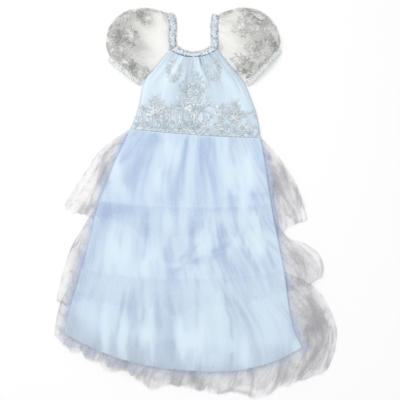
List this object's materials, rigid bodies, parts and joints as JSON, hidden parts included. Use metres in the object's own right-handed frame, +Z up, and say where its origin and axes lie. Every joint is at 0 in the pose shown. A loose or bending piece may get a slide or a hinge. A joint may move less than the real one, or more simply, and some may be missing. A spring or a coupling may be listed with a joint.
{
  "type": "princess costume dress",
  "caption": "Child's long costume dress laid flat, with puff sleeves, an elastic neck, an embroidered satin bodice and a tiered tulle skirt.",
  "frame": {"origin": "middle of the dress's underside, on the surface that it lies on", "axes": "+Y towards the neck, +X towards the viewer's right, +Z up, out of the dress's front"},
  "size_m": [0.7036, 0.9662, 0.0343],
  "materials": {
    "satin": "light blue polyester satin with a soft sheen",
    "tulle": "sheer lavender-blue tulle, matt",
    "embroidered_net": "sheer ivory net with silver-grey flower embroidery",
    "neck_satin": "pale blue satin, ruched on elastic"
  },
  "bodies": {
    "root": {"bodice_satin_back": "satin", "bodice_satin_front": "satin", "bodice_net_front": "embroidered_net", "neck_casing_back": "neck_satin", "neck_casing_front": "neck_satin", "shoulder_casing_left_back": "neck_satin", "shoulder_casing_left_front": "neck_satin", "shoulder_casing_right_back": "neck_satin", "shoulder_casing_right_front": "neck_satin", "sleeve_left": "embroidered_net", "sleeve_right": "embroidered_net", "cuff_left": "neck_satin", "cuff_right": "neck_satin", "skirt_satin_back": "satin", "skirt_satin_front": "satin", "tulle_tier_1_back": "tulle", "tulle_tier_1_front": "tulle", "tulle_tier_2_back": "tulle", "tulle_tier_2_front": "tulle", "tulle_tier_3_back": "tulle", "tulle_tier_3_front": "tulle"}
  },
  "joints": []
}
